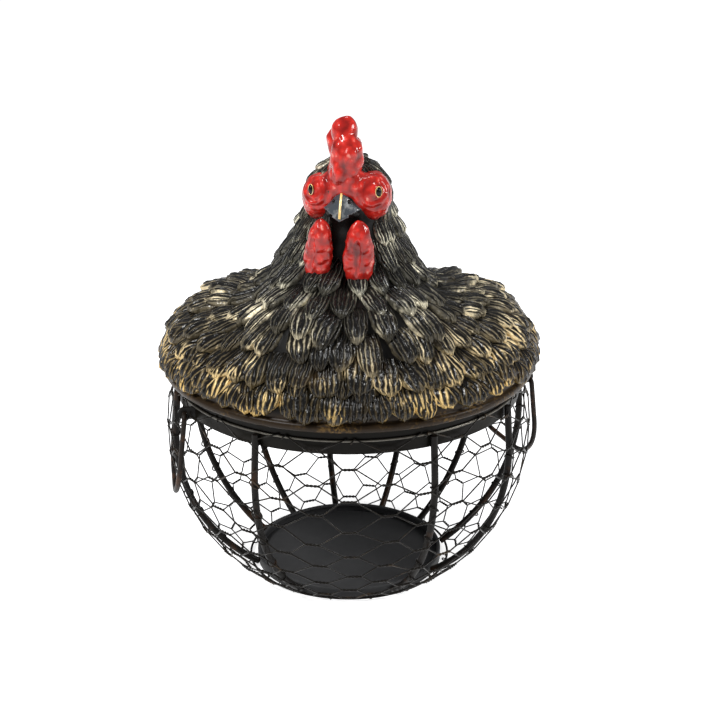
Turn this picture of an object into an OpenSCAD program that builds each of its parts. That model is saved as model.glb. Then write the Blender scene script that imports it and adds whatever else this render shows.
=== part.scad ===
// Round wire basket for eggs or small produce, with a hen-shaped lid and two drop handles.
// Millimetres, +Z up. The origin is the middle of the base's underside and the hen faces -Y.
// An azimuth is measured about Z from the front (-Y) and is positive towards +X.

/* [Base] */
// Outer radius of the pressed base dish
base_r = 57; // [48:0.5:66]
// Height of the dish's turned-up wall
base_h = 6.6; // [5:0.1:9]
// Thickness of the dish's sheet
base_sheet = 1.2; // [0.8:0.1:2]
// Radius of the rolled edge on top of the dish's wall
base_bead_r = 1.2; // [0.8:0.1:1.6]

/* [Bowl] */
// Radius of the sphere that the middle of every rib lies on
bowl_r = 106; // [94:1:130]
// Diameter of the rib wire
rib_d = 4; // [3:0.1:5]
// Height of a rib's centreline where it meets the base
rib_foot_z = 3.6; // [3.2:0.1:6]
// How far the band is smaller in radius than the ribs' sphere
band_inset = 4; // [2.5:0.5:6]
// Height of the band's lower edge above the middle of that sphere
band_lift = 22.5; // [20:0.5:26]
// Height of the rim band
band_h = 15.5; // [12:0.5:20]
// Thickness of the rim band
band_t = 1; // [0.8:0.1:1.6]

/* [Netting] */
// Diameter of the netting's wire
net_d = 0.7; // [0.5:0.1:1]
// Diameter of the wires that the netting is laced to, at the rim and round the base
edge_wire_d = 1.4; // [1:0.1:2]

/* [Handles] */
// Diameter of the handle wire
handle_d = 3; // [2.4:0.1:4]
// Half the distance between a handle's two legs
handle_half_w = 45; // [36:1:50]
// How far a handle reaches below its hinge
handle_drop = 58; // [48:1:66]
// Radius of a handle's lower corners
handle_corner_r = 32; // [20:1:34]
// Thickness of an eye's plate
eye_t = 1.8; // [1.2:0.1:2.4]
// Radius of an eye's rounded end
eye_r = 3.6; // [3:0.1:3.8]
// Radial clearance of a handle's pin in its eye
eye_clearance = 0.08; // [0.04:0.01:0.1]
// Azimuth of the left handle's middle
left_handle_at = -82; // [-86:1:-78]
// Azimuth of the right handle's middle
right_handle_at = 113; // [110:1:116]

/* [Lid] */
// How far the lid's widest part stands out past the rim band
lid_overhang = 10; // [6:0.5:16]
// How far the lid's lower edge is smaller in radius than its widest part
lid_undercut = 1.5; // [0.5:0.5:4]
// Height of the lid's rounded side, from the lower edge up to its widest part
lid_side_h = 14.7; // [10:0.1:18]
// Height of the back above the lid's widest part
back_h = 35; // [28:1:44]
// Wall of the casting
lid_wall = 4.5; // [3.5:0.1:6]
// Depth of the collar that drops inside the rim band
collar_h = 6.3; // [4:0.1:9]
// Clearance of the collar inside the rim band
collar_clearance = 1.5; // [0.8:0.1:3]

/* [Hen] */
// Radius of the hen's head
head_r = 24; // [20:0.5:27]
// Height of the middle of the head above the lid's lower edge
head_h = 111; // [98:1:125]
// How far forward the head stands from the middle of the lid
head_forward = 34; // [26:1:40]
// Angle that the head is turned to the hen's right
head_turn = 8; // [0:1:15]
// Radius of the neck where it leaves the back
neck_r = 54; // [46:1:60]
// Height of the comb's lobes above the middle of the head
comb_h = 35; // [30:1:40]
// Thickness of the comb
comb_t = 14; // [10:0.5:18]
// Length of the wattles below the middle of the head
wattle_h = 36; // [28:1:40]

/* [Hidden] */
$fn = 96;

gap = 0.1;       // between pieces that are welded or laced together
seat = 0.3;      // between the basket and what rests on it
rib_r = rib_d / 2;
wire_r = edge_wire_d / 2;
grip_r = handle_d / 2;

// Azimuths of the ten hand-set ribs, anticlockwise from above
rib_at = [-29, 27, 61, 99, 130, 159, 189, 218, 246, 287];

// The ribs leave the base's wall, follow the sphere, then run straight on to the outside of the band.
rib_foot_r = (base_r + gap) * bowl_r / (bowl_r - rib_r);
bowl_z = rib_foot_z + sqrt(pow(bowl_r, 2) - pow(rib_foot_r, 2));
band_r = bowl_r - band_inset;
rib_top_r = band_r + rib_r + gap;
band_z = bowl_z + band_lift;
band_top = band_z + band_h;
lacing_z = band_top - 7.3;
rib_top_z = lacing_z - wire_r - 0.5;
foot_angle = asin(rib_foot_r / bowl_r);
rib_top_at = norm([rib_top_r, rib_top_z - bowl_z]);
straight_len = sqrt(pow(rib_top_at, 2) - pow(bowl_r, 2));
straight_a = atan((rib_top_z - bowl_z) / rib_top_r) - atan(straight_len / bowl_r);

// The netting lies on the outside of the ribs.
net_in = bowl_r + rib_r + gap + 0.25;
net_out = net_in + net_d;
base_wire_a = foot_angle + 1;
base_wire_at = net_in + wire_r - 0.25;
net_sweep = straight_a + 89 - base_wire_a;
net_straight = (band_lift - 1.5 - net_in * sin(straight_a)) / cos(straight_a);

// A handle hangs with its legs beside the bowl and its foot against it, so it leans outward.
hinge_z = band_z + eye_r;
foot_z = hinge_z - handle_drop;
leg_p = sqrt(pow(net_out + grip_r + 1.8, 2) - pow(handle_half_w, 2));
foot_p = sqrt(pow(net_out, 2) - pow(bowl_z - foot_z - grip_r, 2)) + grip_r + 0.5;
lean = atan((foot_p - leg_p) / (bowl_z - foot_z));
hinge_p = leg_p - (hinge_z - bowl_z) * tan(lean);
handle_len = handle_drop / cos(lean);
pin_len = 7;
pin_bend_r = 3;
eye_x = handle_half_w - pin_len + eye_t / 2 + 1;

// The lid's flange rests on the band and its collar drops inside.
lid_z = band_top + seat;
lid_r = band_r + lid_overhang;
widest_z = lid_z + lid_side_h;
collar_r = band_r - band_t - collar_clearance;
flange_h = 4;
back_steps = 20;
neck_low = [-3, -6, widest_z + 27];
head_at = [-1, -head_forward, lid_z + head_h];

function rib_name(i) = str("rib_", i < 10 ? "0" : "", i);

// ---------- shapes that repeat ----------

module ring(r, z, wire) translate([0, 0, z]) rotate_extrude() translate([r, 0]) circle(r = wire);

// A solid that tapers smoothly from a ball of radius r1 at p1 to one of radius r2 at p2
module taper(p1, r1, p2, r2) {
    v = p2 - p1;
    d = norm(v);
    s = (r1 - r2) / d;
    c = sqrt(1 - s * s);
    translate(p1) rotate([0, acos(v[2] / d), atan2(v[1], v[0])]) {
        sphere(r = r1);
        translate([0, 0, r1 * s]) cylinder(r1 = r1 * c, r2 = r2 * c, h = d + (r2 - r1) * s);
        translate([0, 0, d]) sphere(r = r2);
    }
}

// A wire bent round a centre in the X-Z plane, from the angle start above +X
module arc(x, z, r, start, sweep, wire)
    translate([x, 0, z]) rotate([90, 0, 0]) rotate([0, 0, start])
        rotate_extrude(angle = sweep) translate([r, 0]) circle(r = wire);

module bar(x, z, len, wire) translate([x, 0, z]) rotate([0, 90, 0]) cylinder(r = wire, h = len);

module at_hinge(azimuth) rotate([0, 0, azimuth]) translate([0, -hinge_p, hinge_z]) children();

module at_head() translate(head_at) rotate([0, 0, -head_turn]) children();

// ---------- basket ----------

module base_dish() color([0.16, 0.16, 0.16]) rotate_extrude() {
    square([base_r, base_sheet]);
    translate([base_r - base_sheet, 0]) square([base_sheet, base_h - base_bead_r]);
    translate([base_r - base_bead_r, base_h - base_bead_r]) circle(r = base_bead_r);
}

module base_wire() color([0.12, 0.1, 0.09])
    ring(base_wire_at * sin(base_wire_a), bowl_z - base_wire_at * cos(base_wire_a), wire_r);

module rib(i) color([0.1, 0.08, 0.07])
    rotate([0, 0, rib_at[i - 1] - 90]) translate([0, 0, bowl_z]) rotate([0, -straight_a, 0]) {
        translate([bowl_r, 0, 0]) cylinder(r = rib_r, h = straight_len);
        rotate([-90, 0, 0]) rotate_extrude(angle = straight_a + 90 - foot_angle)
            translate([bowl_r, 0]) circle(r = rib_r);
    }

module rim_band() color([0.15, 0.15, 0.13]) translate([0, 0, band_z]) difference() {
    cylinder(r = band_r, h = band_h);
    translate([0, 0, -1]) cylinder(r = band_r - band_t, h = band_h + 2);
}

module lacing_wire() color([0.3, 0.28, 0.26]) ring(band_r + wire_r + gap, lacing_z, wire_r);

module netting() color([0.14, 0.12, 0.1])
    rotate_extrude() translate([0, bowl_z]) rotate(straight_a) {
        translate([net_in, 0]) square([net_d, net_straight]);
        intersection() {
            difference() {
                circle(r = net_out);
                circle(r = net_in);
            }
            polygon([[0, 0], [2 * bowl_r, 0], 2 * bowl_r * [cos(net_sweep), -sin(net_sweep)]]);
        }
    }

// side is -1 or 1 along the hinge line
module handle_eye(azimuth, side) color([0.1, 0.1, 0.1]) difference() {
    at_hinge(azimuth) translate([side * eye_x - eye_t / 2, 0, 0]) rotate([0, 90, 0]) {
        difference() {
            union() {
                cylinder(r = eye_r, h = eye_t);
                translate([-eye_r, 0, 0]) cube([2 * eye_r, 2 * band_inset + 12, eye_t]);
            }
            translate([0, 0, -1]) cylinder(r = grip_r + eye_clearance, h = eye_t + 2);
        }
    }
    cylinder(r = band_r + gap, h = band_top);
}

module handle(azimuth) color([0.12, 0.08, 0.06]) at_hinge(azimuth) rotate([-lean, 0, 0])
    for (side = [0, 1]) mirror([side, 0, 0]) {
        bar(handle_half_w - pin_len, 0, pin_len - pin_bend_r, grip_r);
        arc(handle_half_w - pin_bend_r, -pin_bend_r, pin_bend_r, 0, 90, grip_r);
        translate([handle_half_w, 0, handle_corner_r - handle_len])
            cylinder(r = grip_r, h = handle_len - handle_corner_r - pin_bend_r);
        arc(handle_half_w - handle_corner_r, handle_corner_r - handle_len, handle_corner_r, -90, 90, grip_r);
        bar(0, -handle_len, handle_half_w - handle_corner_r, grip_r);
    }

// ---------- lid ----------

// The back's outline, from its widest part up to the middle, with the wall's thickness taken off
function back_line(wall) = [for (i = [0:back_steps]) let (a = 90 * i / back_steps)
    [(lid_r - wall) * cos(a), widest_z + (back_h - wall) * sin(a)]];

module back_outside() rotate_extrude()
    polygon(concat([[0, lid_z], [lid_r - lid_undercut, lid_z], [lid_r - 1, lid_z + lid_side_h * 0.4]],
        back_line(0)));

module back_inside() rotate_extrude() {
    polygon(concat([[0, lid_z + flange_h], [lid_r - lid_wall - lid_undercut, lid_z + flange_h]],
        back_line(lid_wall)));
    square([collar_r - lid_wall, lid_z + flange_h + 1]);
}

module neck_and_head(wall) taper(neck_low, neck_r - wall, head_at, head_r - wall);

module tail() {
    taper([0, 68, widest_z + 8], 20, [0, 98, widest_z + 42], 9);
    taper([0, 60, widest_z + 10], 20, [0, 82, widest_z + 52], 8);
}

module hen_body() color([0.1, 0.09, 0.08]) difference() {
    union() {
        back_outside();
        translate([0, 0, lid_z - collar_h]) cylinder(r = collar_r, h = collar_h + 1);
        neck_and_head(0);
        tail();
    }
    back_inside();
    neck_and_head(lid_wall);
}

module hen_comb() color([0.65, 0.05, 0.05]) difference() {
    at_head() for (lobe = [[-15, -5], [0, 0], [15, -4], [28, -11]])
        taper([0, lobe[0] / 2, head_r * 0.45], comb_t / 2,
            [0, lobe[0], comb_h + lobe[1]], comb_t / 2);
    neck_and_head(0);
}

module hen_beak() color([0.35, 0.35, 0.33]) difference() {
    at_head() translate([0, -head_r + 6, -1]) rotate([100, 0, 0]) {
        cylinder(r1 = 8, r2 = 1.5, h = 9.5);
        translate([0, 0, 9.5]) sphere(r = 1.5);
    }
    neck_and_head(0);
}

module hen_wattle(side) color([0.65, 0.05, 0.05]) difference() {
    at_head() taper([side * 5, -head_r + 10, -11], 4, [side * 10.8, -head_r - 5, 8 - wattle_h], 8);
    neck_and_head(0);
}

// A flat-backed dome that sits on the head
module hen_eye(side) color([0.02, 0.02, 0.02]) at_head()
    rotate([0, 0, side * 46]) rotate([-15.5, 0, 0]) translate([0, -head_r - gap, 0]) difference() {
        translate([0, 3.6, 0]) sphere(r = 5.4);
        translate([-6, 0, -6]) cube([12, 12, 12]);
    }

base_dish();
base_wire();
for (i = [1:10]) rib(i);
rim_band();
lacing_wire();
netting();
handle_eye(left_handle_at, 1);  // eye_left_front
handle_eye(left_handle_at, -1);  // eye_left_rear
handle_eye(right_handle_at, -1);  // eye_right_front
handle_eye(right_handle_at, 1);  // eye_right_rear
handle(left_handle_at);  // handle_left
handle(right_handle_at);  // handle_right
hen_body();
hen_comb();
hen_beak();
hen_wattle(1);  // hen_wattle_left
hen_wattle(-1);  // hen_wattle_right
hen_eye(1);  // hen_eye_left
hen_eye(-1);  // hen_eye_right
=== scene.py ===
import math
import random

import bmesh
import bpy
import numpy as np
from mathutils import Matrix, Vector, noise


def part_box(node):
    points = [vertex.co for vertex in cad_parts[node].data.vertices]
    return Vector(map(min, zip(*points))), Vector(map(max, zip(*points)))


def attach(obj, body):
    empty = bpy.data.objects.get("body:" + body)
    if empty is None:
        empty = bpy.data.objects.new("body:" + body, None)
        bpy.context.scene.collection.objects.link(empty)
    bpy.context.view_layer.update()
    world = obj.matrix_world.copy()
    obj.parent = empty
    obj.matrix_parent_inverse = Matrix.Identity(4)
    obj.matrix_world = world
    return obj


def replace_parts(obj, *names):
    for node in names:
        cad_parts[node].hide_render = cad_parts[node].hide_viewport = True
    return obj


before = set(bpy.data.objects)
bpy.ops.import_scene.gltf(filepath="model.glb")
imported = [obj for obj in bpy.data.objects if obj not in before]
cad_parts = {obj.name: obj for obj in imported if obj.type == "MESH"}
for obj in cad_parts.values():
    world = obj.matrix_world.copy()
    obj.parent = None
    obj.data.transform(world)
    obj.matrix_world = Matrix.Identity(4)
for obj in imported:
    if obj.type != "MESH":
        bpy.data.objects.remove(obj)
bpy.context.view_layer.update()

# The wire basket with its hen lid. Sizes are in millimetres until a mesh is written, +Z is up and
# the hen faces -Y. An azimuth is measured about Z from the front and is positive towards +X.

MM = 0.001


def corners(node):
    """The lowest and highest corner of a CAD node, in millimetres."""
    low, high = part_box(node)
    return Vector(low) / MM, Vector(high) / MM


BAND_LOW, BAND_HIGH = corners("rim_band")
BAND_R = BAND_HIGH.x
LACING_LOW, LACING_HIGH = corners("lacing_wire")
LACING_Z = (LACING_LOW.z + LACING_HIGH.z) / 2
LACING_R = (LACING_HIGH.z - LACING_LOW.z) / 2
BASE_WIRE_R = corners("base_wire")[1].x
NET_R = corners("netting")[1].x - 0.35
LID_LOW, LID_HIGH = corners("hen_body")
LID_R = LID_HIGH.x
LID_GAP = 0.3
LID_Z = BAND_HIGH.z + LID_GAP
BAND_LIFT = 22.5
BOWL_Z = BAND_LOW.z - BAND_LIFT


# ---------- camera, light and floor ----------

CAMERA_AIM = Vector((6.8, 0, 129.8)) * MM
CAMERA_ELEVATION = math.radians(21.4)
CAMERA_DISTANCE = 0.957
CAMERA_LENS = 80
CAMERA_SENSOR = 36
# name, place, aim, size and power of each lamp, in metres and watts
SOFTBOXES = (
    ("key", (-0.6, -0.5, 0.95), (0, 0, 0.16), (0.26, 0.26), 9.5),
    ("side", (0.95, -0.25, 0.65), (0, 0, 0.15), (0.14, 0.4), 5.5),
    ("top", (0.1, 0.35, 1.2), (0, 0, 0.15), (0.4, 0.16), 3.5),
)
FILL_COLOUR = (0.95, 0.97, 1.0, 1)
FILL_STRENGTH = 0.3
FLOOR_HALF = 60
FLOOR_COLOUR = (0.86, 0.86, 0.86, 1)
FLOOR_LIFT = 0.78


def put_in_scene(name, data):
    thing = bpy.data.objects.new(name, data)
    bpy.context.collection.objects.link(thing)
    return thing


def look_along(thing, place, direction):
    """Puts a camera or a lamp at a place, facing along a direction."""
    thing.location = place
    thing.rotation_mode = "QUATERNION"
    thing.rotation_quaternion = direction.to_track_quat("-Z", "Y")


def add_camera():
    back = Vector((0, -math.cos(CAMERA_ELEVATION), math.sin(CAMERA_ELEVATION)))
    data = bpy.data.cameras.new("camera")
    data.lens = CAMERA_LENS
    data.sensor_width = CAMERA_SENSOR
    data.clip_start = 0.05
    data.clip_end = 200
    camera = put_in_scene("camera", data)
    look_along(camera, CAMERA_AIM + back * CAMERA_DISTANCE, -back)
    bpy.context.scene.camera = camera


def add_softbox(name, place, aim, size, watts):
    data = bpy.data.lights.new(name, "AREA")
    data.shape = "RECTANGLE"
    data.size, data.size_y = size
    data.energy = watts
    look_along(put_in_scene(name, data), place, Vector(aim) - Vector(place))


def add_world():
    world = bpy.data.worlds.new("studio")
    bpy.context.scene.world = world
    world.use_nodes = True
    fill = world.node_tree.nodes["Background"]
    fill.inputs["Color"].default_value = FILL_COLOUR
    fill.inputs["Strength"].default_value = FILL_STRENGTH


def add_floor():
    """A pale floor that the camera and mirrors see lifted to white, with the object's shadow kept."""
    mesh = bpy.data.meshes.new("floor")
    bm = bmesh.new()
    bmesh.ops.create_grid(bm, x_segments=1, y_segments=1, size=FLOOR_HALF)
    bm.to_mesh(mesh)
    bm.free()
    floor = put_in_scene("floor", mesh)
    material = bpy.data.materials.new("white_floor")
    material.use_nodes = True
    nodes, links = material.node_tree.nodes, material.node_tree.links
    nodes.clear()
    diffuse = nodes.new("ShaderNodeBsdfDiffuse")
    diffuse.inputs["Color"].default_value = FLOOR_COLOUR
    glow = nodes.new("ShaderNodeEmission")
    glow.inputs["Color"].default_value = (1, 1, 1, 1)
    path = nodes.new("ShaderNodeLightPath")
    seen = math_node(nodes, links, "MAXIMUM", path.outputs["Is Camera Ray"], path.outputs["Is Glossy Ray"])
    seen = math_node(nodes, links, "MAXIMUM", seen, path.outputs["Is Transmission Ray"])
    lift = math_node(nodes, links, "MULTIPLY", seen, FLOOR_LIFT)
    both = nodes.new("ShaderNodeAddShader")
    out = nodes.new("ShaderNodeOutputMaterial")
    links.new(lift, glow.inputs["Strength"])
    links.new(diffuse.outputs[0], both.inputs[0])
    links.new(glow.outputs[0], both.inputs[1])
    links.new(both.outputs[0], out.inputs[0])
    mesh.materials.append(material)


# ---------- shader groups ----------

def new_group(name, inputs, outputs):
    """A shader node group, its nodes and links, and its input and output nodes."""
    tree = bpy.data.node_groups.new(name, "ShaderNodeTree")
    for label, kind, value in inputs:
        socket = tree.interface.new_socket(label, in_out="INPUT", socket_type=kind)
        if value is not None:
            socket.default_value = value
    for label, kind in outputs:
        tree.interface.new_socket(label, in_out="OUTPUT", socket_type=kind)
    start = tree.nodes.new("NodeGroupInput")
    end = tree.nodes.new("NodeGroupOutput")
    return tree, tree.nodes, tree.links, start, end


def feed(links, socket, value):
    """Links a socket to another, or sets it to a number."""
    if isinstance(value, (int, float)):
        socket.default_value = value
    else:
        links.new(value, socket)


def math_node(nodes, links, operation, a, b=0.0, c=0.0, clamp=False):
    node = nodes.new("ShaderNodeMath")
    node.operation = operation
    node.use_clamp = clamp
    for socket, value in zip(node.inputs, (a, b, c)):
        feed(links, socket, value)
    return node.outputs[0]


def noise_node(nodes, links, vector, scale, detail=4.0, roughness=0.55):
    node = nodes.new("ShaderNodeTexNoise")
    node.inputs["Detail"].default_value = detail
    node.inputs["Roughness"].default_value = roughness
    links.new(vector, node.inputs["Vector"])
    feed(links, node.inputs["Scale"], scale)
    return node.outputs["Fac"]


def patches_group():
    """Soft-edged patches, such as brown rub on black paint. Amount is about the share covered."""
    tree, nodes, links, start, end = new_group(
        "patches",
        [("Vector", "NodeSocketVector", None), ("Scale", "NodeSocketFloat", 60.0),
         ("Amount", "NodeSocketFloat", 0.4), ("Softness", "NodeSocketFloat", 0.12)],
        [("Mask", "NodeSocketFloat")])
    field = noise_node(nodes, links, start.outputs["Vector"], start.outputs["Scale"], 6, 0.6)
    level = math_node(nodes, links, "SUBTRACT", 1.0, start.outputs["Amount"])
    level = math_node(nodes, links, "MULTIPLY_ADD", level, 0.4, 0.3)
    over = math_node(nodes, links, "SUBTRACT", field, level)
    mask = math_node(nodes, links, "DIVIDE", over, start.outputs["Softness"], clamp=True)
    links.new(mask, end.inputs["Mask"])
    return tree


def grain_group():
    """Fine uneven grain for paint and glaze: a value about 0.5 and a height."""
    tree, nodes, links, start, end = new_group(
        "grain",
        [("Vector", "NodeSocketVector", None), ("Scale", "NodeSocketFloat", 400.0),
         ("Depth", "NodeSocketFloat", 1.0)],
        [("Value", "NodeSocketFloat"), ("Height", "NodeSocketFloat")])
    fine = noise_node(nodes, links, start.outputs["Vector"], start.outputs["Scale"], 3, 0.6)
    coarse_scale = math_node(nodes, links, "MULTIPLY", start.outputs["Scale"], 0.17)
    coarse = noise_node(nodes, links, start.outputs["Vector"], coarse_scale, 3, 0.5)
    value = math_node(nodes, links, "MULTIPLY_ADD", fine, 0.6, -0.05)
    value = math_node(nodes, links, "ADD", value, math_node(nodes, links, "MULTIPLY", coarse, 0.5))
    height = math_node(nodes, links, "MULTIPLY", value, start.outputs["Depth"])
    links.new(value, end.inputs["Value"])
    links.new(height, end.inputs["Height"])
    return tree


def wrinkles_group():
    """Pebbly folded skin: a height and a mask of its high places."""
    tree, nodes, links, start, end = new_group(
        "wrinkles",
        [("Vector", "NodeSocketVector", None), ("Scale", "NodeSocketFloat", 400.0),
         ("Stretch", "NodeSocketFloat", 1.0)],
        [("Height", "NodeSocketFloat"), ("High", "NodeSocketFloat")])
    warp = nodes.new("ShaderNodeTexNoise")
    warp.inputs["Detail"].default_value = 2
    links.new(start.outputs["Vector"], warp.inputs["Vector"])
    scale = math_node(nodes, links, "MULTIPLY", start.outputs["Scale"], 0.5)
    links.new(scale, warp.inputs["Scale"])
    bend = nodes.new("ShaderNodeVectorMath")
    bend.operation = "MULTIPLY_ADD"
    bend.inputs[1].default_value = (0.004, 0.004, 0.004)
    links.new(warp.outputs["Color"], bend.inputs[0])
    links.new(start.outputs["Vector"], bend.inputs[2])
    squeeze = nodes.new("ShaderNodeCombineXYZ")
    squeeze.inputs["X"].default_value = 1
    squeeze.inputs["Y"].default_value = 1
    links.new(start.outputs["Stretch"], squeeze.inputs["Z"])
    shaped = nodes.new("ShaderNodeVectorMath")
    shaped.operation = "MULTIPLY"
    links.new(bend.outputs[0], shaped.inputs[0])
    links.new(squeeze.outputs[0], shaped.inputs[1])
    cells = nodes.new("ShaderNodeTexVoronoi")
    cells.feature = "SMOOTH_F1"
    cells.inputs["Smoothness"].default_value = 0.6
    links.new(shaped.outputs[0], cells.inputs["Vector"])
    links.new(start.outputs["Scale"], cells.inputs["Scale"])
    height = math_node(nodes, links, "SUBTRACT", 1.0, cells.outputs["Distance"])
    high = math_node(nodes, links, "SUBTRACT", height, 0.62)
    high = math_node(nodes, links, "MULTIPLY", high, 5.0, clamp=True)
    links.new(height, end.inputs["Height"])
    links.new(high, end.inputs["High"])
    return tree


PATCHES = patches_group()
GRAIN = grain_group()
WRINKLES = wrinkles_group()


# ---------- materials ----------

class Finish:
    """A material with its Principled shader and helpers that wire masks and colours into it."""

    def __init__(self, name, roughness, metallic=0.0, coat=0.0, specular=0.5):
        self.material = bpy.data.materials.new(name)
        self.material.use_nodes = True
        self.nodes = self.material.node_tree.nodes
        self.links = self.material.node_tree.links
        self.shader = self.nodes["Principled BSDF"]
        self.shader.inputs["Roughness"].default_value = roughness
        self.shader.inputs["Metallic"].default_value = metallic
        self.shader.inputs["Coat Weight"].default_value = coat
        self.shader.inputs["Specular IOR Level"].default_value = specular
        self.place = self.nodes.new("ShaderNodeTexCoord").outputs["Object"]

    def group(self, tree, **values):
        node = self.nodes.new("ShaderNodeGroup")
        node.node_tree = tree
        self.links.new(self.place, node.inputs["Vector"])
        for label, value in values.items():
            node.inputs[label.capitalize()].default_value = value
        return node.outputs

    def math(self, operation, a, b=0.0, c=0.0, clamp=False):
        return math_node(self.nodes, self.links, operation, a, b, c, clamp)

    def attribute(self, name):
        node = self.nodes.new("ShaderNodeAttribute")
        node.attribute_name = name
        return node.outputs["Fac"]

    def split(self, vector):
        node = self.nodes.new("ShaderNodeSeparateXYZ")
        self.links.new(vector, node.inputs[0])
        return node.outputs

    def mix(self, mask, first, second):
        """A colour between two, each a colour or a socket."""
        node = self.nodes.new("ShaderNodeMix")
        node.data_type = "RGBA"
        sockets = [s for s in node.inputs if s.type == "RGBA"]
        for socket, value in zip(sockets, (first, second)):
            if isinstance(value, tuple):
                socket.default_value = (*value, 1)
            else:
                self.links.new(value, socket)
        self.links.new(mask, node.inputs[0])
        return [s for s in node.outputs if s.type == "RGBA"][0]

    def colour(self, socket):
        self.links.new(socket, self.shader.inputs["Base Color"])

    def roughness(self, low, high, mask):
        value = self.math("MULTIPLY_ADD", mask, high - low, low)
        self.links.new(value, self.shader.inputs["Roughness"])

    def bump(self, height, distance, strength=1.0, over=None):
        node = self.nodes.new("ShaderNodeBump")
        node.inputs["Distance"].default_value = distance
        node.inputs["Strength"].default_value = strength
        self.links.new(height, node.inputs["Height"])
        if over is not None:
            self.links.new(over, node.inputs["Normal"])
        self.links.new(node.outputs[0], self.shader.inputs["Normal"])
        return node.outputs[0]


def painted_wire(name, paint, rub, rub_amount, roughness=0.42):
    """Black satin paint, rubbed to brown in patches, with fine grain."""
    finish = Finish(name, roughness, specular=0.14)
    rubbed = finish.group(PATCHES, scale=55.0, amount=rub_amount, softness=0.1)["Mask"]
    grain = finish.group(GRAIN, scale=900.0)
    tone = finish.mix(grain["Value"], tuple(c * 0.7 for c in paint), tuple(c * 1.4 for c in paint))
    finish.colour(finish.mix(rubbed, tone, rub))
    finish.roughness(roughness - 0.08, roughness + 0.14, grain["Value"])
    finish.bump(grain["Height"], 0.0001, 0.5)
    return finish.material


def satin_steel(name, paint, dust, roughness):
    """Powder-coated sheet: a fine orange-peel grain, faint dust and slight tone changes."""
    finish = Finish(name, roughness, specular=0.09)
    grain = finish.group(GRAIN, scale=1300.0)
    cloudy = finish.group(PATCHES, scale=22.0, amount=0.5, softness=0.35)["Mask"]
    tone = finish.mix(grain["Value"], tuple(c * 0.75 for c in paint), tuple(c * 1.3 for c in paint))
    finish.colour(finish.mix(finish.math("MULTIPLY", cloudy, 0.35), tone, dust))
    finish.roughness(roughness - 0.07, roughness + 0.12, grain["Value"])
    finish.bump(grain["Height"], 0.00008, 0.6)
    return finish.material


def bright_wire():
    """Plain steel wire with fine drawing marks."""
    finish = Finish("bright_wire", 0.36, metallic=0.6)
    grain = finish.group(GRAIN, scale=1500.0)
    dull = finish.group(PATCHES, scale=90.0, amount=0.5, softness=0.2)["Mask"]
    finish.colour(finish.mix(dull, (0.13, 0.12, 0.10), (0.05, 0.04, 0.035)))
    finish.roughness(0.22, 0.42, grain["Value"])
    finish.bump(grain["Height"], 0.00006, 0.5)
    return finish.material


GLAZE_BLACK = (0.005, 0.0045, 0.004)
DEEP_BROWN = (0.022, 0.013, 0.006)
GOLD = (0.86, 0.58, 0.20)
PALE_GOLD = (0.97, 0.91, 0.70)


def feather_barbs(finish, across, along):
    """A wave over a feather: lengthwise barbs on a long one, slanted off the shaft on a round one."""
    side = finish.math("ABSOLUTE", across)
    wobble = noise_node(finish.nodes, finish.links, finish.place, 140.0, 3)
    wobble = finish.math("MULTIPLY_ADD", wobble, 0.5, -0.25)
    lengthwise = finish.math("MULTIPLY", finish.math("ADD", side, wobble), -17.0)
    slanted = finish.math("SUBTRACT", along, finish.math("MULTIPLY", side, 0.42))
    slanted = finish.math("MULTIPLY", slanted, 33.0)
    slanted = finish.math("ADD", slanted, finish.math("MULTIPLY", wobble, 5.0))
    blend = finish.nodes.new("ShaderNodeMix")
    finish.links.new(finish.attribute("roundness"), blend.inputs[0])
    finish.links.new(lengthwise, blend.inputs[2])
    finish.links.new(slanted, blend.inputs[3])
    return side, finish.math("MULTIPLY_ADD", finish.math("SINE", blend.outputs[0]), 0.5, 0.5)


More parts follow.
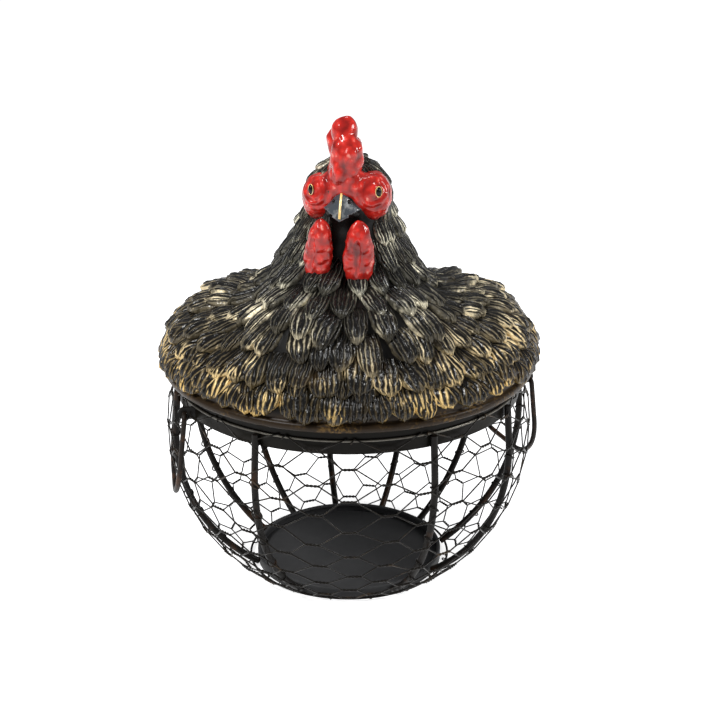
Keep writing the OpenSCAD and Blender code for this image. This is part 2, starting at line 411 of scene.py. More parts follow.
def feather_finish():
    """Black glaze, dry-brushed gold along each feather's ridges, barbs and edge; the gold fades towards
    each root, partly as painted shade, and pales to cream on the neck, partly as a painted highlight.
    """
    finish = Finish("feathers", 0.3, specular=0.32)
    uv = finish.nodes.new("ShaderNodeUVMap")
    uv.uv_map = "feather"
    on_feather = finish.split(uv.outputs[0])
    across = finish.math("MULTIPLY_ADD", on_feather["X"], 2.0, -1.0)
    along = on_feather["Y"]
    side, barb = feather_barbs(finish, across, along)
    # gold sits on ridges and round the edge, and fades out towards the root: dry-brush missing the hollows,
    # and painted shade where the feather tucks under the row above
    edge = finish.math("SMOOTH_MAX", side, along, 0.15)
    edge = finish.math("MULTIPLY", finish.math("SUBTRACT", edge, 0.84), 9.0, clamp=True)
    worn = finish.group(PATCHES, scale=52.0, amount=0.46, softness=0.12)["Mask"]
    speck = finish.group(PATCHES, scale=420.0, amount=0.62, softness=0.15)["Mask"]
    ridge = finish.math("POWER", barb, 3.4)
    # the strokes dim towards the root: painted shade under the overlapping row above
    strokes = finish.math("MULTIPLY", ridge, finish.math("MULTIPLY_ADD", along, 0.9, 0.1))
    gold = finish.math("MAXIMUM", strokes, edge)
    gold = finish.math("MULTIPLY", gold, finish.math("MULTIPLY_ADD", worn, 1.9, 0.18))
    gold = finish.math("MULTIPLY", gold, finish.math("MULTIPLY_ADD", speck, 0.4, 0.6))
    gold = finish.math("MULTIPLY", gold, finish.attribute("brush_and_root_shade"), clamp=True)
    # the brushed paint is antique gold lower down and pales to cream on the neck: partly cream dry-brush,
    # partly a painted highlight for the glaze's silvery shine up there
    high = finish.math("SUBTRACT", finish.split(finish.place)["Z"], 0.138)
    paint = finish.mix(finish.math("MULTIPLY", high, 18.0, clamp=True), GOLD, PALE_GOLD)
    clouds = finish.group(PATCHES, scale=40.0, amount=0.35)["Mask"]
    finish.colour(finish.mix(gold, finish.mix(clouds, GLAZE_BLACK, DEEP_BROWN), paint))
    finish.roughness(0.2, 0.36, gold)
    finish.links.new(finish.math("MULTIPLY", gold, 0.25), finish.shader.inputs["Metallic"])
    ridges = finish.bump(barb, 0.0011, 1.0)
    finish.bump(finish.group(GRAIN, scale=700.0)["Height"], 0.00015, 0.5, over=ridges)
    return finish.material


def casting_finish(name, paint, rub_below):
    """The smooth parts of the casting: black glaze, rubbed with gold in streaks below a height."""
    finish = Finish(name, 0.42, specular=0.14)
    low = finish.math("SUBTRACT", rub_below * MM, finish.split(finish.place)["Z"])
    low = finish.math("MULTIPLY", low, 400.0, clamp=True)
    streaks = finish.group(PATCHES, scale=60.0, amount=0.62, softness=0.3)["Mask"]
    speck = finish.group(PATCHES, scale=500.0, amount=0.6, softness=0.25)["Mask"]
    gold = finish.math("MULTIPLY", finish.math("MULTIPLY", streaks, speck), low)
    brown = finish.mix(low, GLAZE_BLACK, DEEP_BROWN)
    finish.colour(finish.mix(finish.math("MULTIPLY", gold, 0.7), brown, paint))
    finish.roughness(0.36, 0.55, gold)
    grain = finish.group(GRAIN, scale=500.0)
    finish.bump(grain["Height"], 0.0003, 0.6)
    return finish.material


def red_skin():
    """Glossy wrinkled red, with painted shade darkening the folds and high places paler, partly worn paint
    and partly painted highlight.
    """
    finish = Finish("red_skin", 0.2, coat=0.1, specular=0.4)
    folds = finish.group(WRINKLES, scale=300.0, stretch=0.7)
    broad = finish.group(PATCHES, scale=75.0, amount=0.5, softness=0.3)["Mask"]
    pale = finish.group(PATCHES, scale=260.0, amount=0.42, softness=0.1)["Mask"]
    # the high places turn pale pink: partly worn paint, partly a painted highlight
    worn = finish.math("MULTIPLY", finish.math("MULTIPLY", folds["High"], pale), 0.75)
    # the red darkens into the folds: painted shade in the creases
    red_with_fold_shade = finish.mix(folds["Height"], (0.10, 0.002, 0.002), (0.86, 0.032, 0.02))
    red_with_fold_shade = finish.mix(finish.math("MULTIPLY", broad, 0.45), red_with_fold_shade, (0.48, 0.008, 0.006))
    finish.colour(finish.mix(worn, red_with_fold_shade, (0.92, 0.38, 0.30)))
    finish.roughness(0.14, 0.32, folds["High"])
    finish.bump(folds["Height"], 0.0006, 0.55)
    return finish.material


def beak_finish():
    """Steel-grey horn with fine growth lines and a rubbed edge."""
    finish = Finish("beak", 0.24, coat=0.5)
    grain = finish.group(GRAIN, scale=420.0)
    rubbed = finish.group(PATCHES, scale=150.0, amount=0.4, softness=0.2)["Mask"]
    finish.colour(finish.mix(rubbed, (0.05, 0.06, 0.07), (0.34, 0.35, 0.34)))
    finish.roughness(0.18, 0.34, grain["Value"])
    finish.bump(grain["Height"], 0.0003, 0.5)
    return finish.material


def gold_line():
    """Gold paint, paler where it has worn."""
    finish = Finish("gold_line", 0.35, metallic=0.5)
    worn = finish.group(PATCHES, scale=200.0, amount=0.5, softness=0.25)["Mask"]
    finish.colour(finish.mix(worn, GOLD, PALE_GOLD))
    finish.bump(finish.group(GRAIN, scale=800.0)["Height"], 0.0001, 0.5)
    return finish.material


def eye_finish():
    """Black glass with a faint cloud in it."""
    finish = Finish("eye_glass", 0.1, specular=0.25)
    cloud = finish.group(GRAIN, scale=300.0)
    finish.colour(finish.mix(cloud["Value"], (0.002, 0.002, 0.002), (0.008, 0.006, 0.005)))
    finish.roughness(0.04, 0.1, cloud["Value"])
    return finish.material


# ---------- pieces ----------

def add_piece(name, mesh, material, body):
    """A finished mesh as a smooth piece that rides on a body and takes the given finish."""
    mesh.materials.clear()
    mesh.materials.append(material)
    mesh.shade_smooth()
    piece = put_in_scene(name, mesh)
    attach(piece, body)
    return piece


def finished_mesh(name, bm, merge=True):
    """Turns a bmesh in millimetres into a mesh in metres, with its faces outwards."""
    if merge:
        bmesh.ops.remove_doubles(bm, verts=bm.verts, dist=0.001)
    bmesh.ops.recalc_face_normals(bm, faces=bm.faces)
    bmesh.ops.scale(bm, vec=(MM, MM, MM), verts=bm.verts)
    mesh = bpy.data.meshes.new(name)
    bm.to_mesh(mesh)
    bm.free()
    return mesh


def tubes_mesh(name, routes, radius, closed=False, sides=1):
    """Round wires along lists of points in millimetres, joined in one mesh."""
    curve = bpy.data.curves.new(name, "CURVE")
    curve.dimensions = "3D"
    curve.bevel_depth = radius * MM
    curve.bevel_resolution = sides
    curve.use_fill_caps = not closed
    for route in routes:
        spline = curve.splines.new("POLY")
        spline.points.add(len(route) - 1)
        spline.points.foreach_set("co", np.c_[np.array(route) * MM, np.ones(len(route))].ravel())
        spline.use_cyclic_u = closed
    holder = put_in_scene(name, curve)
    graph = bpy.context.evaluated_depsgraph_get()
    mesh = bpy.data.meshes.new_from_object(holder.evaluated_get(graph))
    bpy.data.objects.remove(holder)
    mesh.name = name
    return mesh


def refinish(nodes, material):
    """Gives CAD nodes a better material."""
    for node in nodes:
        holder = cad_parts[node]
        for place in holder.material_slots:
            place.material = material
        if not holder.material_slots:
            holder.data.materials.append(material)


# ---------- netting ----------

COLUMNS = 32
ROW_STEP = 9.6
FIRST_ROW = 5.4
WIRE_R = 0.44
WIRE_SPREAD = WIRE_R * 1.06
TWIST_HALF = 4.3
TWIST_TURNS = 2
TWIST_STEPS = 11
STRAIGHT_TOP_LAT = math.radians(7.5)
TOP_SLOPE = 0.15
HOOK_REACH = LACING_R + WIRE_R + 0.12
RIB_COUNT = 10
TIE_R = 2.75
TIE_SINK = 2.3
TIE_SLANT = 1.8
TIE_POINTS = 14
TIE_STEP = 19.2


def net_profile():
    """Distance down the netting against radius and height, from the lacing wire to the base."""
    top = (BAND_R + 2 * LACING_R + 0.5, LACING_Z)
    lats = np.linspace(STRAIGHT_TOP_LAT, -math.acos(BASE_WIRE_R / NET_R * 0.985), 60)
    radii = np.r_[top[0], NET_R * np.cos(lats)]
    heights = np.r_[top[1], BOWL_Z + NET_R * np.sin(lats)]
    steps = np.hypot(np.diff(radii), np.diff(heights))
    return np.r_[0, np.cumsum(steps)], radii, heights


NET_S, NET_RADII, NET_HEIGHTS = net_profile()
NET_END = NET_S[-1]
ROWS = int((NET_END - FIRST_ROW) / ROW_STEP) + 1
JITTER = np.random.default_rng(11)
ROW_JITTER = JITTER.normal(0, 0.55, (ROWS + 4, COLUMNS))
COLUMN_JITTER = JITTER.normal(0, 0.6, (ROWS + 4, COLUMNS))


def net_point(azimuth, s, lift=0.0):
    """A place on the netting in millimetres, and lift is how far it stands off outwards."""
    s = min(max(s, 0.0), NET_END)
    r = np.interp(s, NET_S, NET_RADII)
    z = np.interp(s, NET_S, NET_HEIGHTS)
    out = Vector((math.sin(azimuth), -math.cos(azimuth), 0))
    slope = math.atan2(z - BOWL_Z, r) if s > NET_S[1] else TOP_SLOPE
    normal = out * math.cos(slope) + Vector((0, 0, math.sin(slope)))
    return out * r + Vector((0, 0, z)) + normal * lift


def hook(azimuth, half, s_edge, t):
    """A place on a hook wrapped once round the wire that edges the netting, t from 0 to 1."""
    turn = 2 * math.pi * (t + 0.25)
    out = LACING_R * 0.2 + HOOK_REACH * math.cos(turn) - 0.9
    place = net_point(azimuth + half * 0.5 * (2 * t - 1), s_edge)
    return place + Vector((math.sin(azimuth) * out, -math.cos(azimuth) * out, HOOK_REACH * math.sin(turn)))


def net_wire(j):
    """One wire round the basket, twisted by turns with the wire above and the wire below."""
    route = []
    for column in range(COLUMNS):
        row = 2 * ((j - 1) // 2) + 1 if column % 2 == 0 else 2 * (j // 2)
        start = math.pi if row < j else 0
        s = FIRST_ROW + ROW_STEP * row + ROW_JITTER[row + 1, column]
        azimuth = math.radians(1 + 360 / COLUMNS * column + COLUMN_JITTER[row + 1, column])
        radius = float(np.interp(min(max(s, 0), NET_END), NET_S, NET_RADII))
        half = min(TWIST_HALF, 0.36 * radius * 2 * math.pi / COLUMNS) / radius
        for t in (i / (TWIST_STEPS - 1) for i in range(TWIST_STEPS)):
            if row < 0 or s > NET_END - 2:
                route.append(hook(azimuth, half, 0 if row < 0 else NET_END, t))
                continue
            turn = 2 * math.pi * TWIST_TURNS * t + start
            route.append(net_point(azimuth + half * (2 * t - 1), s - WIRE_SPREAD * math.cos(turn),
                                   WIRE_R + WIRE_SPREAD * math.sin(turn)))
    return route


def rib_tie(azimuth, s):
    """A slanted loop of wire that ties the netting to a rib."""
    turns = [2 * math.pi * k / TIE_POINTS for k in range(TIE_POINTS)]
    return [net_point(azimuth + TIE_R * math.cos(turn) / NET_R, s + TIE_SLANT * math.cos(turn),
                      -TIE_SINK + TIE_R * math.sin(turn)) for turn in turns]


def add_netting(material):
    wires = [net_wire(j) for j in range(ROWS + 1)]
    rng = random.Random(5)
    for i in range(1, RIB_COUNT + 1):
        low, high = corners("rib_%02d" % i)
        centre = (low + high) / 2
        azimuth = math.atan2(centre.x, -centre.y)
        wires += [rib_tie(azimuth, s + rng.uniform(-4, 4)) for s in np.arange(30, NET_END - 12, TIE_STEP)]
    mesh = tubes_mesh("netting_wires", wires, WIRE_R, closed=True)
    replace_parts(add_piece("netting_wires", mesh, material, "basket"), "netting")


# ---------- the hen's form ----------

def smooth_union(a, b, k):
    """Two forms in one, blended over a width k where they meet."""
    h = np.clip(0.5 + 0.5 * (b - a) / k, 0, 1)
    return b + (a - b) * h - k * h * (1 - h)


def ball(p, centre, radii):
    """About the distance to an ellipsoid."""
    q = p - np.array(centre, float)
    r = np.array(radii, float)
    near = np.linalg.norm(q / r, axis=-1)
    return near * (near - 1) / np.maximum(np.linalg.norm(q / r ** 2, axis=-1), 1e-6)


def cone(p, a, r1, b, r2):
    """About the distance to a solid that tapers from a ball at a to a ball at b."""
    a, b = np.array(a, float), np.array(b, float)
    axis = b - a
    t = np.clip(((p - a) @ axis) / (axis @ axis), 0, 1)
    near = a + t[..., None] * axis
    return np.linalg.norm(p - near, axis=-1) - (r1 + (r2 - r1) * t)


HEAD = Vector((0.8, -34, 242.5))
HEAD_TURN = math.radians(-9.5)
AT_HEAD = Matrix.Translation(HEAD) @ Matrix.Rotation(HEAD_TURN, 4, "Z")
WIDEST_Z = LID_Z + 14.7
SIDE_Z = LID_Z + 6.5
LIP_Z = LID_Z + 4.6
SKIN_R = LID_R - 4.6


def hen_field(p):
    """Below zero inside the hen's body, neck, head and tail, without the feathers."""
    height = np.where(p[..., 2] > SIDE_Z, 40.0, 60.0)
    q = np.stack([p[..., 0] / SKIN_R, p[..., 1] / SKIN_R, (p[..., 2] - SIDE_Z) / height], -1)
    dome = (np.linalg.norm(q, axis=-1) - 1) * 40
    breast = ball(p, (0, -48, WIDEST_Z + 13), (58, 50, 38))
    wings = smooth_union(ball(p, (-62, -4, LID_Z + 16), (36, 56, 26)),
                         ball(p, (63, -4, LID_Z + 16), (37, 58, 29)), 6)
    neck = cone(p, (-1, -16, WIDEST_Z + 30), 47, (1.2, -31, 238), 20.5)
    head = ball(p, HEAD, (22, 24, 21))
    tail = smooth_union(cone(p, (0, 62, WIDEST_Z + 10), 20, (0, 92, WIDEST_Z + 38), 8),
                        cone(p, (0, 54, WIDEST_Z + 12), 18, (0, 78, WIDEST_Z + 50), 7), 6)
    form = smooth_union(dome, breast, 14)
    form = smooth_union(form, wings, 12)
    form = smooth_union(form, neck, 20)
    form = smooth_union(form, head, 6)
    return smooth_union(form, tail, 8)


def cast_rays(field, centre, directions, reach):
    """How far the surface lies from centre along each direction."""
    steps = np.linspace(0, reach, 90)
    last = np.zeros(directions.shape[:-1])
    for step in steps[1:]:
        inside = field(centre + directions * step) < 0
        last = np.where(inside, step, last)
    low, high = last, last + steps[1]
    for _ in range(14):
        middle = (low + high) / 2
        inside = field(centre + directions * middle[..., None]) < 0
        low = np.where(inside, middle, low)
        high = np.where(inside, high, middle)
    return low


SKIN_AROUND = 240
SKIN_DOWN = 150
RAYS_DOWN = 420
RAYS_END = math.radians(138)
SKIN_CENTRE = np.array((-2.0, -16.0, WIDEST_Z + 16))


def hen_lines():
    """Lines down the hen from its crown to the lid's lower edge, evenly spaced along each."""
    axis = np.array(HEAD) + (0, 2, 18) - SKIN_CENTRE
    axis /= np.linalg.norm(axis)
    front = np.array((0.0, -1.0, 0.0))
    front -= axis * (front @ axis)
    front /= np.linalg.norm(front)
    right = np.cross(front, axis)
    around = np.linspace(0, 2 * math.pi, SKIN_AROUND, endpoint=False)
    down = np.linspace(0.002, RAYS_END, RAYS_DOWN)
    a, d = np.meshgrid(around, down, indexing="ij")
    sideways = np.cos(a)[..., None] * front - np.sin(a)[..., None] * right
    directions = np.cos(d)[..., None] * axis + np.sin(d)[..., None] * sideways
    lengths = cast_rays(hen_field, SKIN_CENTRE, directions, 190)
    places = SKIN_CENTRE + directions * lengths[..., None]
    lines = np.zeros((SKIN_AROUND, SKIN_DOWN, 3))
    totals = np.zeros(SKIN_AROUND)
    for i in range(SKIN_AROUND):
        line = places[i]
        below = np.nonzero(line[:, 2] < LIP_Z)[0]
        stop = below[0] if len(below) else len(line) - 1
        t = (line[stop - 1, 2] - LIP_Z) / max(line[stop - 1, 2] - line[stop, 2], 1e-6)
        edge = line[stop - 1] + (line[stop] - line[stop - 1]) * min(max(t, 0), 1)
        line = np.vstack([line[:stop], edge])
        s = np.r_[0, np.cumsum(np.linalg.norm(np.diff(line, axis=0), axis=1))]
        totals[i] = s[-1]
        even = np.linspace(0, s[-1], SKIN_DOWN)
        for k in range(3):
            lines[i, :, k] = np.interp(even, s, line[:, k])
    return lines, totals


HEN_LINES, HEN_TOTALS = hen_lines()


def hen_normals():
    """The skin's outward direction at each place of the lines, and how wide one radian is there."""
    along = np.gradient(HEN_LINES, axis=1)
    wrapped = np.concatenate([HEN_LINES[-1:], HEN_LINES, HEN_LINES[:1]])
    across = (wrapped[2:] - wrapped[:-2]) / 2
    normals = np.cross(along, across)
    normals /= np.maximum(np.linalg.norm(normals, axis=-1, keepdims=True), 1e-9)
    outward = HEN_LINES - SKIN_CENTRE
    flip = np.sign((normals * outward).sum(-1, keepdims=True))
    pace = np.linalg.norm(across, axis=-1) * SKIN_AROUND / (2 * math.pi)
    return normals * flip, pace


HEN_NORMALS, HEN_PACE = hen_normals()


def look_up(table, around, down):
    """A table's value between its lines: around in radians, down from 0 to 1."""
    i = (around / (2 * math.pi) * SKIN_AROUND) % SKIN_AROUND
    j = np.clip(down, 0, 1) * (SKIN_DOWN - 1)
    i0, j0 = np.floor(i).astype(int), np.minimum(np.floor(j).astype(int), SKIN_DOWN - 2)
    fi, fj = i - i0, j - j0
    i0, i1 = i0 % SKIN_AROUND, (i0 + 1) % SKIN_AROUND
    if table.ndim == 3:
        fi, fj = fi[..., None], fj[..., None]
    top = table[i0, j0] * (1 - fi) + table[i1, j0] * fi
    low = table[i0, j0 + 1] * (1 - fi) + table[i1, j0 + 1] * fi
    return top * (1 - fj) + low * fj


def total_at(around):
    """The length of the line down the hen at an azimuth in radians."""
    i = (around / (2 * math.pi) * SKIN_AROUND) % SKIN_AROUND
    i0 = np.floor(i).astype(int) % SKIN_AROUND
    f = i - np.floor(i)
    return HEN_TOTALS[i0] * (1 - f) + HEN_TOTALS[(i0 + 1) % SKIN_AROUND] * f


COLLAR_LOW = LID_LOW.z
COLLAR_R = BAND_R - 2.5


def add_skin(material):
    """The casting under the feathers: outside, lower edge, collar and hollow, in one skin."""
    inner_r = COLLAR_R - 4.5
    under = [(LID_R - 3.0, LID_Z + 4.2), (LID_R - 2.2, LID_Z + 3.2), (LID_R - 1.9, LID_Z + 1.2),
             (LID_R - 2.6, LID_Z), (COLLAR_R, LID_Z), (COLLAR_R, COLLAR_LOW),
             (inner_r, COLLAR_LOW), (inner_r, LID_Z + 4), (LID_R - 10, LID_Z + 6),
             (LID_R - 12, WIDEST_Z - 2), (LID_R - 24, WIDEST_Z + 12), (LID_R - 46, WIDEST_Z + 20),
             (30, WIDEST_Z + 25), (0.0001, WIDEST_Z + 26)]
    rows = SKIN_DOWN + len(under)
    bm = bmesh.new()
    bmesh.ops.create_grid(bm, x_segments=SKIN_AROUND, y_segments=rows - 1, size=1)
    for vert in bm.verts:
        i = round((vert.co.x + 1) / 2 * SKIN_AROUND) % SKIN_AROUND
        j = round((vert.co.y + 1) / 2 * (rows - 1))
        if j < SKIN_DOWN:
            vert.co = HEN_LINES[i, j]
        else:
            edge = HEN_LINES[i, -1]
            azimuth = math.atan2(edge[0], -edge[1])
            r, z = under[j - SKIN_DOWN]
            vert.co = (math.sin(azimuth) * r, -math.cos(azimuth) * r, z)
    piece = add_piece("hen_skin", finished_mesh("hen_skin", bm), material, "lid")
    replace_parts(piece, "hen_body")


# ---------- feathers ----------

# where a feather's lines of vertices lie, across it and along it
ACROSS = (-1, -0.9, -0.62, -0.3, 0, 0.3, 0.62, 0.9, 1)
ALONG = (0, 0.16, 0.36, 0.56, 0.74, 0.87, 0.955, 1)


def feather_outline(v, roundness):
    """Half the width of a feather at v along it, as a share of its widest."""
    fullest = 0.62 - 0.08 * roundness
    start = 0.62 + 0.2 * roundness
    if v < fullest:
        return start + (1 - start) * math.sin(math.pi / 2 * v / fullest)
    t = (v - fullest) / (1 - fullest)
    return math.sqrt(max(1 - t ** 2.3, 0)) * 0.97 + 0.03


# heights over the skin in millimetres, and the heights of the barbs' ridges across a feather
EDGE_SINK = -1.1
ROOT_SINK = -1.3
RIDGES = {0: 0.34, 0.3: -0.22, 0.62: 0.26, 0.9: 0.1}


def feather_height(u, v, lift):
    """How far a feather stands off the skin. Its sides and tip turn down to it."""
    if abs(u) == 1 or v == 1:
        return EDGE_SINK
    rise = min(v / 0.8, 1)
    rise = rise * rise * (3 - 2 * rise)
    crown = (lift - ROOT_SINK) * rise * (1 - 0.30 * u * u)
    height = ROOT_SINK + crown + RIDGES[abs(u)] * rise * lift / 2.4
    if v > 0.95:
        height -= lift * 0.35
    return height


class FeatherCoat:
    """Collects the feathers as one bmesh with their UV map and brush values, which fade at each root as
    painted shade.
    """

    def __init__(self):
        self.bm = bmesh.new()
        self.uv = self.bm.loops.layers.uv.new("feather")
        self.brush_and_root_shade = self.bm.verts.layers.float.new("brush_and_root_shade")
        self.roundness = self.bm.verts.layers.float.new("roundness")

    def add(self, around, s, half_width, length, lift, roundness, brush_and_root_shade, twist):
        """One closed feather bent over the skin, at an azimuth and a distance from the crown."""
        made = bmesh.ops.create_grid(self.bm, x_segments=len(ACROSS) - 1, y_segments=len(ALONG) - 1, size=1)
        verts = made["verts"]
        u = np.array([ACROSS[round((v.co.x + 1) / 2 * (len(ACROSS) - 1))] for v in verts])
        w = np.array([ALONG[round((v.co.y + 1) / 2 * (len(ALONG) - 1))] for v in verts])
        x = u * half_width * np.array([feather_outline(v, roundness) for v in w])
        y = (w - 0.25) * length
        y = y - 0.10 * length * u * u * w
        x, y = x * math.cos(twist) - y * math.sin(twist), x * math.sin(twist) + y * math.cos(twist)
        total = float(total_at(np.array(around)))
        down_line = (s + y) / total
        pace = look_up(HEN_PACE, np.full_like(down_line, around), down_line)
        turn = around + x / np.maximum(pace, 3.0)
        down = (s + y) / total_at(turn)
        height = np.array([feather_height(a, b, lift) for a, b in zip(u, w)])
        places = look_up(HEN_LINES, turn, down) + look_up(HEN_NORMALS, turn, down) * height[:, None]
        for vert, place, a, b in zip(verts, places, u, w):
            vert.co = place
            # the brush fades to nothing towards the feather's root: painted shade under the row above, on
            # top of the feather's own amount of dry-brush
            vert[self.brush_and_root_shade] = brush_and_root_shade * min(max((b - 0.12) / 0.45, 0), 1)
            vert[self.roundness] = roundness
        index = {vert: (a, b) for vert, a, b in zip(verts, u, w)}
        for face in {face for vert in verts for face in vert.link_faces}:
            for loop in face.loops:
                a, b = index[loop.vert]
                loop[self.uv].uv = ((a + 1) / 2, b)
        rim = dict.fromkeys(edge for vert in verts for edge in vert.link_edges if edge.is_boundary)
        bmesh.ops.contextual_create(self.bm, geom=list(rim))


def in_face(place):
    """Whether a place is in the bare face or the throat, where no feather grows."""
    local = AT_HEAD.inverted() @ Vector(place)
    if -9 < local.z < 15 and local.y < -4:
        return True
    return abs(local.x) < 8 and local.y < -12 and -30 < local.z <= -9


def brush_at(place):
    """How much paint was brushed on: most on the wings and the neck's sides, least on the breast."""
    aside = abs(place[0] - 2)
    return float(np.interp(aside + 0.5 * max(place[2] - 190, 0), (0, 25, 60, 100), (0.5, 1.0, 1.9, 2.4)))


def feather_row(coat, rng, s_at, size, length, shift):
    """A row of feathers. s_at gives the distance from the crown at each azimuth."""
    turns = np.linspace(0, 2 * math.pi, 180, endpoint=False)
    pace = look_up(HEN_PACE, turns, s_at(turns) / total_at(turns))
    girth = np.r_[0, np.cumsum(pace * 2 * math.pi / 180)]
    count = max(int(girth[-1] / (size * 1.66)), 5)
    for k in range(count):
        where = (k + shift + rng.uniform(-0.18, 0.18)) / count * girth[-1]
        around = float(np.interp(where % girth[-1], girth, np.r_[turns, 2 * math.pi]))
        total = float(total_at(np.array(around)))
        s = float(s_at(np.array([around]))[0])
        if s > total - 6:
            continue
        place = look_up(HEN_LINES, np.array([around]), np.array([s / total]))[0]
        out = math.hypot(place[0], place[1] + 20)
        roundness = min(max((out - 62) / 22, 0), 1) * (0.5 if abs(place[0]) > 45 or place[1] > 0 else 0.1)
        start = s + rng.uniform(-0.08, 0.08) * length
        fit = length * rng.uniform(0.88, 1.1) * (1 - 0.28 * roundness)
        fit = min(fit, (total - s - 0.5) / 0.75)
        if fit < 0.5 * length or in_face(place):
            continue
        wide = size * rng.uniform(0.9, 1.12) * (1 + 0.2 * roundness)
        lift = np.interp(s, (0, 30, 80), (1.5, 2.8, 5.0)) * rng.uniform(0.7, 1.15)
        coat.add(around, start, wide, fit, lift, roundness, brush_at(place) * rng.uniform(0.45, 1.25),
                 rng.gauss(0, 0.11))


# the size and length of a feather against its distance from the crown
FEATHER_AT = (0, 30, 60, 100, 150)
FEATHER_SIZES = (3.0, 4.2, 5.6, 7.4, 8.4)
FEATHER_LENGTHS = (12, 20, 30, 33, 30)
RIM_ROWS = ((29, 0.0), (16.5, 0.5))


def add_feathers(material):
    """Rows of feathers from the crown down, and two that follow the lid's lower edge."""
    coat = FeatherCoat()
    rng = random.Random(21)
    s, row = 5.0, 0
    while s < HEN_TOTALS.max():
        size = np.interp(s, FEATHER_AT, FEATHER_SIZES)
        length = np.interp(s, FEATHER_AT, FEATHER_LENGTHS)
        feather_row(coat, rng, lambda turn, s=s: np.full(turn.shape, s), size, length, 0.5 * (row % 2))
        s += length * 0.47
        row += 1
    for rise, shift in RIM_ROWS:
        feather_row(coat, rng, lambda turn, rise=rise: total_at(turn) - rise, 7.2, 24, shift)
    mesh = finished_mesh("hen_feathers", coat.bm, merge=False)
    add_piece("hen_feathers", mesh, material, "lid")


# ---------- head ----------

# places in the head's own axes; the hen's left is +X
FACE_CENTRE = (0, -9, 4)
LOWER_BEAK = (0, -17.5, -5.2)
EYE_SPOTS = (Vector((16.2, -18.5, 6.4)), Vector((-14.6, -19.5, 6.4)))


def eye_wrinkles(place):
    """Rings of soft folds round each eye, which fade away over the cheek."""
    height = 0.0
    for spot in EYE_SPOTS:
        away = (place - spot).length + 1.2 * noise.noise(place / 5.0)
        height += 0.55 * math.cos(2 * math.pi * (away - 4.4) / 3.1) * math.exp(-((away - 5.5) / 5.0) ** 2)
    return height


def sculpt(name, field, centre, around, down, reach, bumps=(), folds=None):
    """A closed skin over a field about a centre, in the head's own axes, with (scale, height) bumps."""
    bm = bmesh.new()
    bmesh.ops.create_uvsphere(bm, u_segments=around, v_segments=down, radius=1)
    directions = np.array([v.co for v in bm.verts])
    directions /= np.linalg.norm(directions, axis=1, keepdims=True)
    centre = np.array(centre, float)
    lengths = cast_rays(field, centre, directions, reach)
    for vert, direction, length in zip(bm.verts, directions, lengths):
        place = Vector(centre + direction * length)
        push = sum(height * noise.noise(place / scale) for scale, height in bumps)
        if folds:
            push += folds(place)
        vert.co = place + Vector(direction) * push
    bmesh.ops.transform(bm, matrix=AT_HEAD, verts=bm.verts)
    return finished_mesh(name, bm)


def face_field(p):
    """The bare red face: cheeks, the skin before the eyes and the brow."""
    cheeks = smooth_union(ball(p, (-14.0, -10.5, 0.5), (10, 11.5, 13)),
                          ball(p, (14.8, -10.5, 2.0), (10.5, 11.5, 13.5)), 3)
    lores = smooth_union(ball(p, (-8.6, -17.5, 5), (8.4, 6.4, 9)),
                         ball(p, (9.4, -17.5, 5.5), (8.4, 6.4, 9)), 3)
    brow = ball(p, (0.5, -17.5, 13), (9.5, 8, 11))
    return smooth_union(smooth_union(cheeks, lores, 5), brow, 4)


# the centre and radii of each lobe of the comb, from front to back
COMB_LOBES = (
    ((2.4, -20, 25), (9.0, 7.0, 13)),
    ((0.2, -15, 37.5), (7.4, 6.4, 8.5)),
    ((-5.4, -6, 30), (5.6, 7.0, 10)),
    ((-3, 8, 27), (5.0, 6.4, 9)),
    ((0, 19, 20), (4.4, 5.6, 7)),
)


def comb_field(p):
    form = ball(p, (-1, -8, 16), (8.0, 19, 13))
    for centre, radii in COMB_LOBES:
        form = smooth_union(form, ball(p, centre, radii), 2.2)
    return form


def wattle_field(p):
    """A hanging lobe with a crease down its front."""
    form = smooth_union(ball(p, (0, 0, -6), (6.0, 4.0, 10)), ball(p, (0, 0.5, -19), (8.7, 4.6, 15.5)), 5)
    crease = ball(p, (-1.8, -5.4, -17), (2.4, 3.3, 12))
    return np.maximum(form, -crease)


BEAK_ROOT = 15.0
BEAK_TIP = 31.5
BEAK_BACK = -9.0
BEAK_ARCH = 1.35


def beak_section(forward):
    """Half the beak's width, its ridge's height and its lower edge's height, at a distance forward."""
    t = np.clip((forward - BEAK_ROOT) / (BEAK_TIP - BEAK_ROOT), 0, 1)
    return 17.0 * (1 - t) ** 0.8 + 0.05, 9.6 - 16.5 * t ** 2.5, -2.2 - 6.0 * t ** 1.8


def upper_beak_field(p):
    forward, height = -p[..., 1], p[..., 2]
    wide, ridge, lower = beak_section(forward)
    across = np.minimum(np.abs(p[..., 0]) / wide, 1.5)
    roof = lower + (ridge - lower) * (1 - across ** BEAK_ARCH)
    hollow = lower + 1.6 * np.sqrt(np.maximum(1 - across ** 2, 0)) * (forward < 28)
    ends = np.maximum(forward - BEAK_TIP, -forward - BEAK_BACK)
    return np.maximum(np.maximum(height - roof, hollow - height), ends)


def lower_beak_field(p):
    return ball(p, LOWER_BEAK, (10.2, 9.2, 4.6))


def on_beak(x, forward, lift):
    """A place on the upper beak's roof in the head's own axes."""
    wide, ridge, lower = beak_section(forward)
    return Vector((x, -forward, lower + (ridge - lower) * (1 - (abs(x) / wide) ** BEAK_ARCH) + lift))


def add_ball(name, radii, segments, place, material):
    """A small ball stretched to its radii and put in place by a matrix."""
    bm = bmesh.new()
    bmesh.ops.create_uvsphere(bm, u_segments=segments[0], v_segments=segments[1], radius=1)
    bmesh.ops.scale(bm, vec=radii, verts=bm.verts)
    bmesh.ops.transform(bm, matrix=place, verts=bm.verts)
    return add_piece(name, finished_mesh(name, bm), material, "lid")


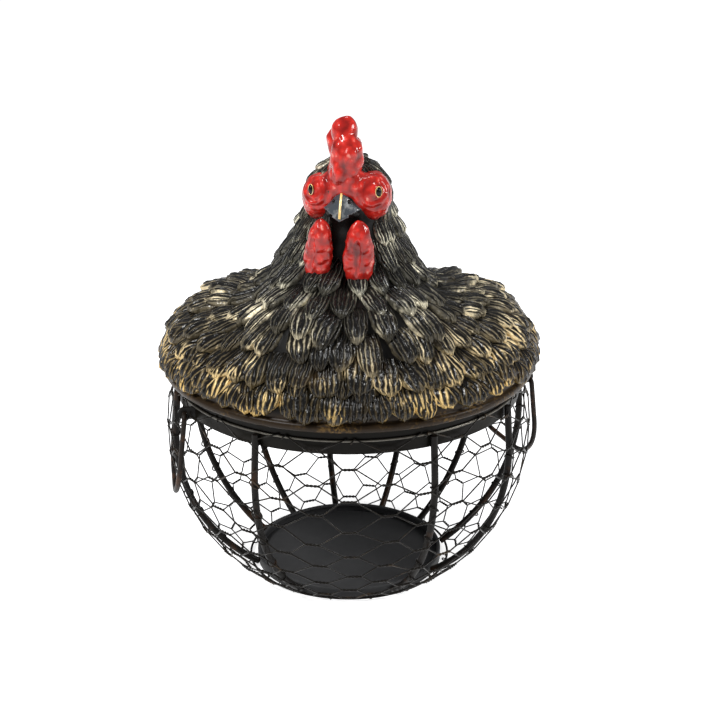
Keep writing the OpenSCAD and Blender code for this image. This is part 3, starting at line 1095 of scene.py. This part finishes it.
def add_comb_and_face(red):
    rough = ((5.5, 0.8), (2.2, 0.22))
    face = sculpt("hen_face", face_field, FACE_CENTRE, 150, 110, 45, rough, eye_wrinkles)
    add_piece("hen_face", face, red, "lid")
    comb = sculpt("hen_comb_form", comb_field, (-1, -9, 20), 150, 110, 50, ((6.5, 1.5), (2.6, 0.28)))
    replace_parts(add_piece("hen_comb_form", comb, red, "lid"), "hen_comb")


def add_wattle(name, side, lean, red):
    """A wattle under the beak, turned outwards and leaning to its side."""
    turn = (Matrix.Rotation(side * 0.35, 4, "Z") @ Matrix.Rotation(-lean, 4, "Y")
            @ Matrix.Rotation(0.08, 4, "X"))
    place = Matrix.Translation((side * 10.3, -27.0, -11.6)) @ turn
    mesh = sculpt(name + "_form", wattle_field, (0, 0, -14), 96, 72, 40, ((4.2, 1.1), (1.8, 0.2)))
    mesh.transform(Matrix.Scale(MM, 4) @ AT_HEAD @ place @ AT_HEAD.inverted() @ Matrix.Scale(1 / MM, 4))
    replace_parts(add_piece(name + "_form", mesh, red, "lid"), name)


def add_beak(horn, gold, dark):
    """The upper beak with its ridge line, and the lower beak behind it."""
    upper = sculpt("beak_upper", upper_beak_field, (0, -18, 1.5), 160, 100, 30, ((6.0, 0.25),))
    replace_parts(add_piece("beak_upper", upper, horn, "lid"), "hen_beak")
    lower = sculpt("beak_lower", lower_beak_field, LOWER_BEAK, 64, 40, 30, ((6.0, 0.3),))
    add_piece("beak_lower", lower, dark, "lid")
    line = [AT_HEAD @ on_beak(0, f, -0.15) for f in np.linspace(BEAK_ROOT + 1, BEAK_TIP - 0.3, 12)]
    add_piece("beak_ridge", tubes_mesh("beak_ridge", [line], 0.7, sides=3), gold, "lid")


def add_nostrils(glass):
    for name, side in (("nostril_right", -1), ("nostril_left", 1)):
        place = AT_HEAD @ Matrix.Translation(on_beak(side * 4.2, 24.5, -0.3))
        add_ball(name, (1.0, 1.0, 1.3), (20, 12), place, glass)


def add_eye(name, side, glass, gold):
    """A tall glossy oval eye in a thin lid ring, set on the bare face."""
    out = Vector((side * 0.6, -0.8, 0.08)).normalized()
    start = Vector(FACE_CENTRE)
    towards = (EYE_SPOTS[0 if side > 0 else 1] - start).normalized()
    reach = cast_rays(face_field, np.array(start), np.array([towards]), 45)
    centre = start + towards * float(reach[0])
    place = AT_HEAD @ Matrix.Translation(centre) @ out.to_track_quat("Z", "Y").to_matrix().to_4x4()
    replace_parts(add_ball(name + "_glass", (1.75, 2.7, 1.7), (32, 20), place, glass), name)
    turns = np.linspace(0, 2 * math.pi, 33)[:-1]
    ring = [place @ Vector((1.9 * math.cos(turn), 2.85 * math.sin(turn), 0.5)) for turn in turns]
    mesh = tubes_mesh(name + "_ring", [ring], 0.2, closed=True, sides=3)
    add_piece(name + "_ring", mesh, gold, "lid")


# ---------- everything ----------

def paint_basket():
    """Gives the basket's CAD nodes their paint."""
    ribs = ["rib_%02d" % i for i in range(1, RIB_COUNT + 1)]
    small = ["eye_left_front", "eye_left_rear", "eye_right_front", "eye_right_rear", "base_wire"]
    refinish(ribs, painted_wire(
        "rib_paint", paint=(0.007, 0.0055, 0.0045), rub=(0.045, 0.022, 0.011), rub_amount=0.35))
    refinish(["handle_left", "handle_right"], painted_wire(
        "handle_paint", paint=(0.012, 0.008, 0.006), rub=(0.08, 0.038, 0.02), rub_amount=0.5))
    refinish(small, painted_wire(
        "dark_paint", paint=(0.007, 0.006, 0.005), rub=(0.03, 0.02, 0.014), rub_amount=0.3))
    refinish(["rim_band"], satin_steel(
        "band_paint", paint=(0.006, 0.005, 0.0035), dust=(0.018, 0.016, 0.011), roughness=0.34))
    refinish(["base_dish"], satin_steel(
        "dish_paint", paint=(0.052, 0.052, 0.053), dust=(0.085, 0.085, 0.086), roughness=0.42))
    refinish(["lacing_wire"], bright_wire())


def main():
    add_camera()
    add_world()
    add_floor()
    for softbox in SOFTBOXES:
        add_softbox(*softbox)

    paint_basket()
    add_netting(painted_wire("net_paint", paint=(0.012, 0.010, 0.008), rub=(0.06, 0.042, 0.026),
                             rub_amount=0.35, roughness=0.26))

    add_skin(casting_finish("casting", (0.5, 0.29, 0.08), LID_Z + 9))
    add_feathers(feather_finish())
    dark = casting_finish("dark_casting", (0.12, 0.09, 0.05), 0)
    red, horn, gold, glass = red_skin(), beak_finish(), gold_line(), eye_finish()
    add_comb_and_face(red)
    add_wattle("hen_wattle_left", 1, 0.0, red)
    add_wattle("hen_wattle_right", -1, -0.2, red)
    add_beak(horn, gold, dark)
    add_eye("hen_eye_left", 1, glass, gold)
    add_eye("hen_eye_right", -1, glass, gold)
    add_nostrils(glass)

    bpy.context.scene.view_settings.view_transform = "Standard"


main()
